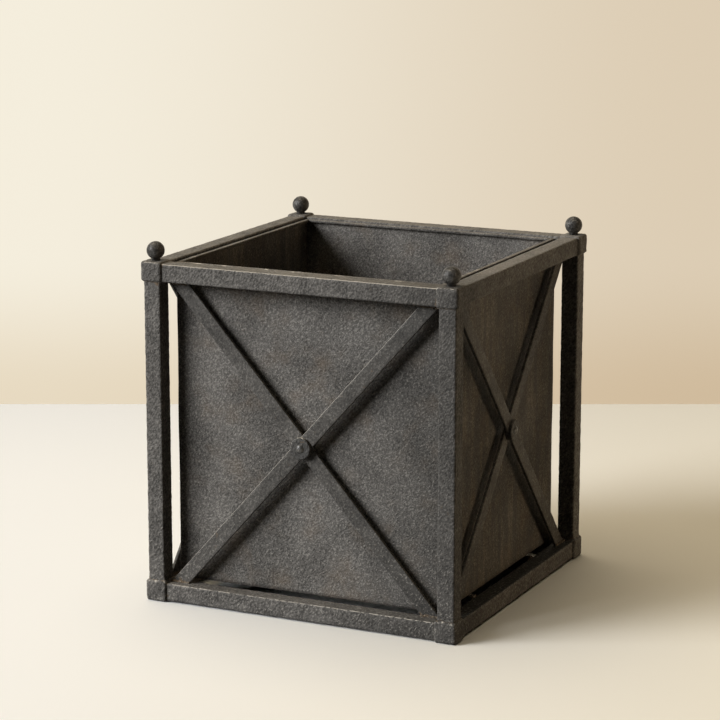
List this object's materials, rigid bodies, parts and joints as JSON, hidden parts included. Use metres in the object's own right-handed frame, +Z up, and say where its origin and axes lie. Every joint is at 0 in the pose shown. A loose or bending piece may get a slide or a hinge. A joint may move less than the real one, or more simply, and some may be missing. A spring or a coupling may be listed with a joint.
{
  "type": "square planter",
  "caption": "Square iron floor planter: open frame of square bar with cast corner blocks, ball finials, crossed side braces with riveted bosses, and a lift-out sheet liner.",
  "frame": {"origin": "centre of the planter's footprint, on the floor that the foot blocks stand on", "axes": "+Z up, -Y the front, +X to the right of someone facing the front"},
  "size_m": [0.5, 0.5, 0.5385],
  "materials": {
    "forged_bar": "hammered bar, matte charcoal black, arrises worn paler, brown dust in the hollows",
    "cast_block": "hammered casting, matte charcoal black with worn edges",
    "turned_finial": "fine-grained black, slightly smoother than the bars",
    "brace_flat": "matte charcoal black flat bar, arrises rubbed bright",
    "cast_boss": "matte charcoal black casting with a rubbed rim",
    "rivet": "matte charcoal black domed head",
    "liner_sheet": "dull mottled charcoal sheet with paler patches and brown dust"
  },
  "bodies": {
    "frame": {"post_front_left": "forged_bar", "post_front_right": "forged_bar", "post_back_right": "forged_bar", "post_back_left": "forged_bar", "top_block_front_left": "cast_block", "top_block_front_right": "cast_block", "top_block_back_right": "cast_block", "top_block_back_left": "cast_block", "foot_block_front_left": "cast_block", "foot_block_front_right": "cast_block", "foot_block_back_right": "cast_block", "foot_block_back_left": "cast_block", "finial_front_left": "turned_finial", "finial_front_right": "turned_finial", "finial_back_right": "turned_finial", "finial_back_left": "turned_finial", "top_rail_front": "forged_bar", "top_rail_right": "forged_bar", "top_rail_back": "forged_bar", "top_rail_left": "forged_bar", "bottom_rail_front": "forged_bar", "bottom_rail_right": "forged_bar", "bottom_rail_back": "forged_bar", "bottom_rail_left": "forged_bar", "brace_outer_front": "brace_flat", "brace_outer_right": "brace_flat", "brace_outer_back": "brace_flat", "brace_outer_left": "brace_flat", "brace_inner_front": "brace_flat", "brace_inner_right": "brace_flat", "brace_inner_back": "brace_flat", "brace_inner_left": "brace_flat", "boss_front": "cast_boss", "boss_right": "cast_boss", "boss_back": "cast_boss", "boss_left": "cast_boss", "rivet_front": "rivet", "rivet_right": "rivet", "rivet_back": "rivet", "rivet_left": "rivet", "bearer_front": "forged_bar", "bearer_back": "forged_bar"},
    "liner": {"liner_walls": "liner_sheet", "liner_floor": "liner_sheet"}
  },
  "joints": [
    {"name": "liner_lift", "type": "slide", "parent": "frame", "child": "liner", "axis": [0, 0, 1], "range_m": [0, 0.51]}
  ]
}
